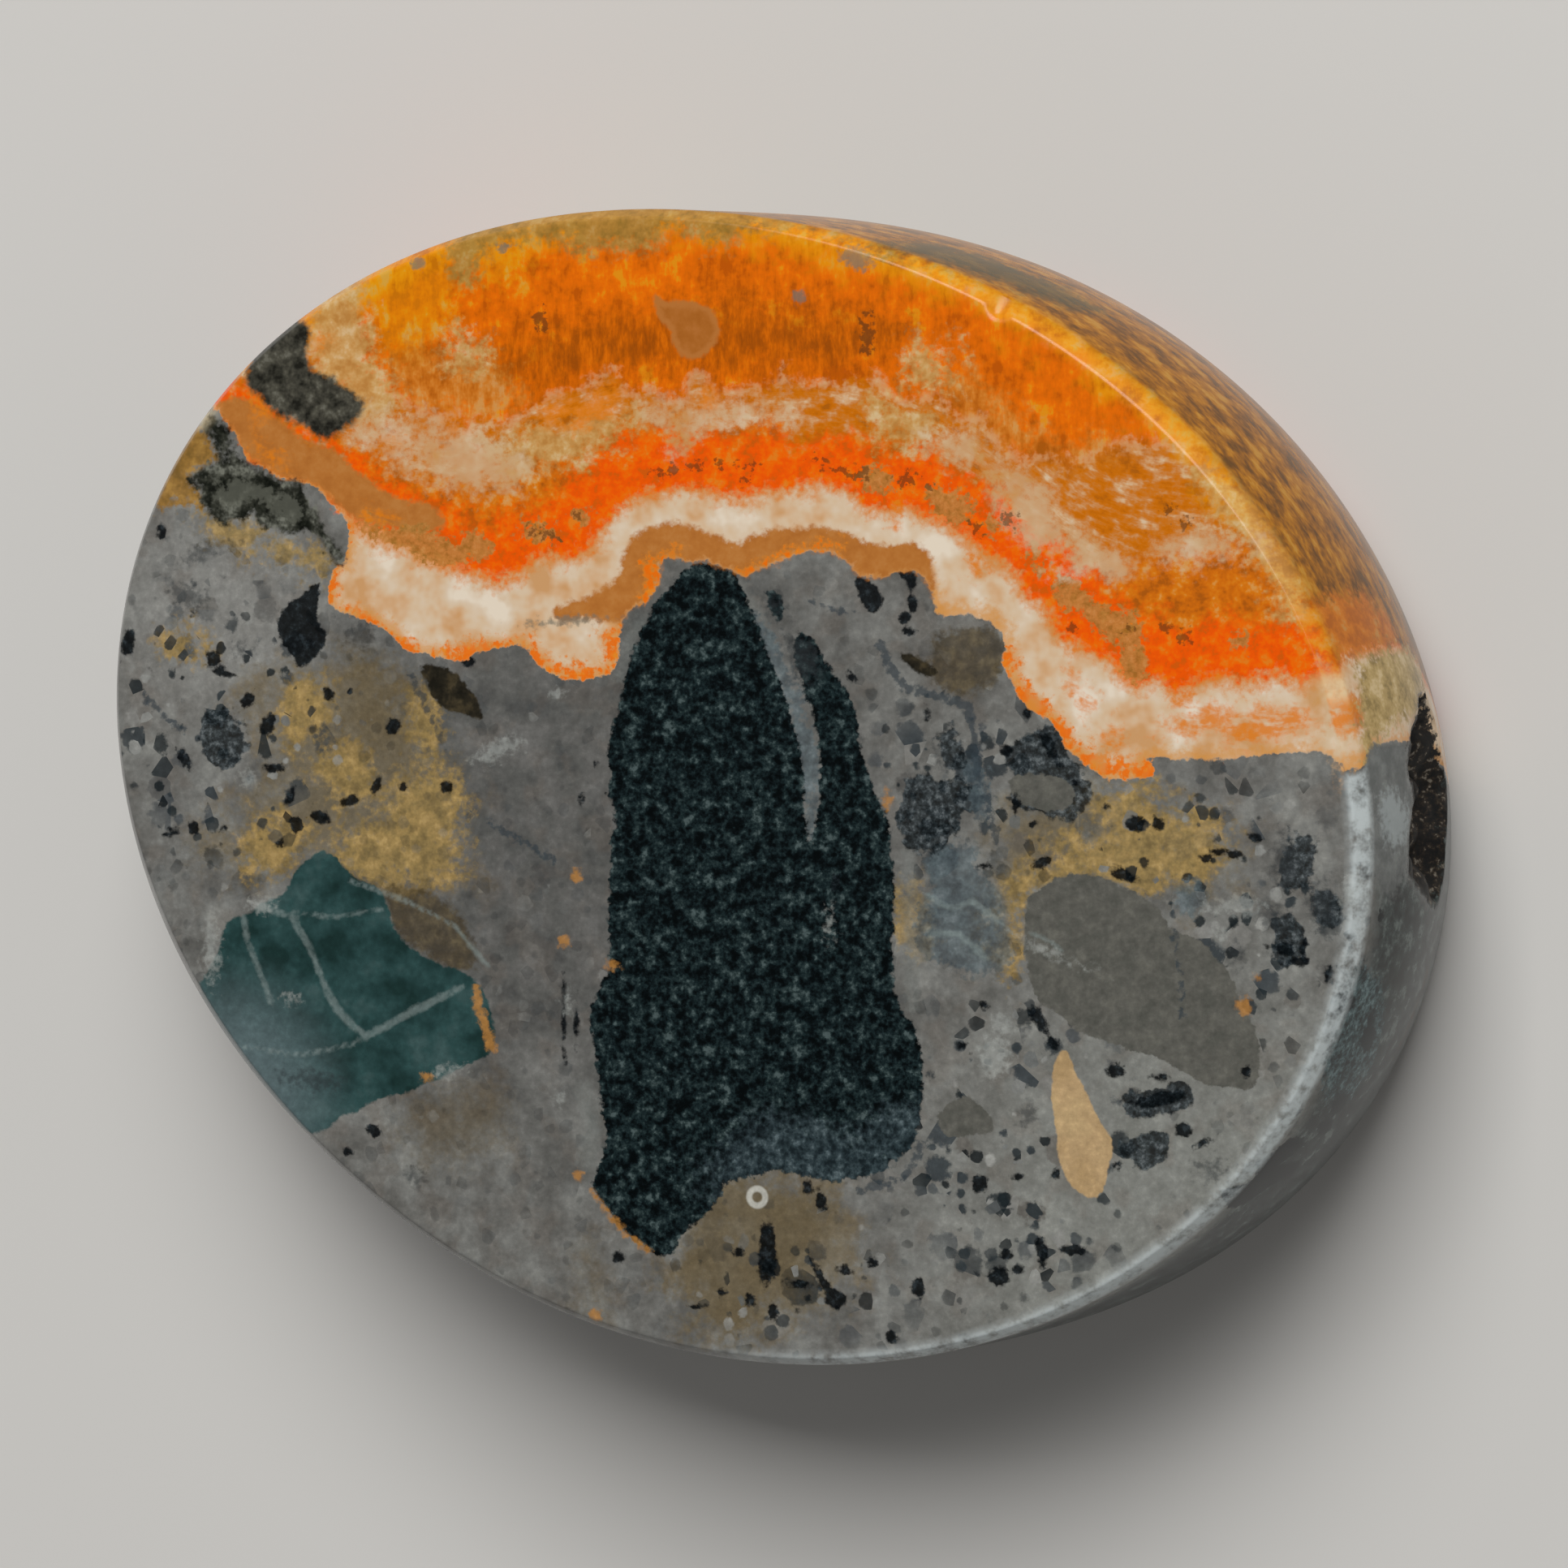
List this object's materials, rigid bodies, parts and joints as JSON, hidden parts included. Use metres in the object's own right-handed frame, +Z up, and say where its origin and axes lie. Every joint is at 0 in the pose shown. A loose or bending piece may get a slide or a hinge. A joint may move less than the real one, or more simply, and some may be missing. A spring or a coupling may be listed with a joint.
{
  "type": "bumblebee jasper palm stone",
  "caption": "Polished oval palm stone of banded orange and grey jasper breccia, with a flat face, slim bevel, convex side with an open vug and a flat back it rests on.",
  "frame": {"origin": "middle of the stone's box, on the surface that its flat back rests on", "axes": "+X along the long axis of the oval, +Y along its short axis, +Z up out of the polished face"},
  "size_m": [0.0704, 0.0574, 0.018],
  "materials": {
    "polished_jasper": "polished stone with banded orange, cream and grey markings"
  },
  "bodies": {
    "root": {"palm_stone": "polished_jasper"}
  },
  "joints": []
}
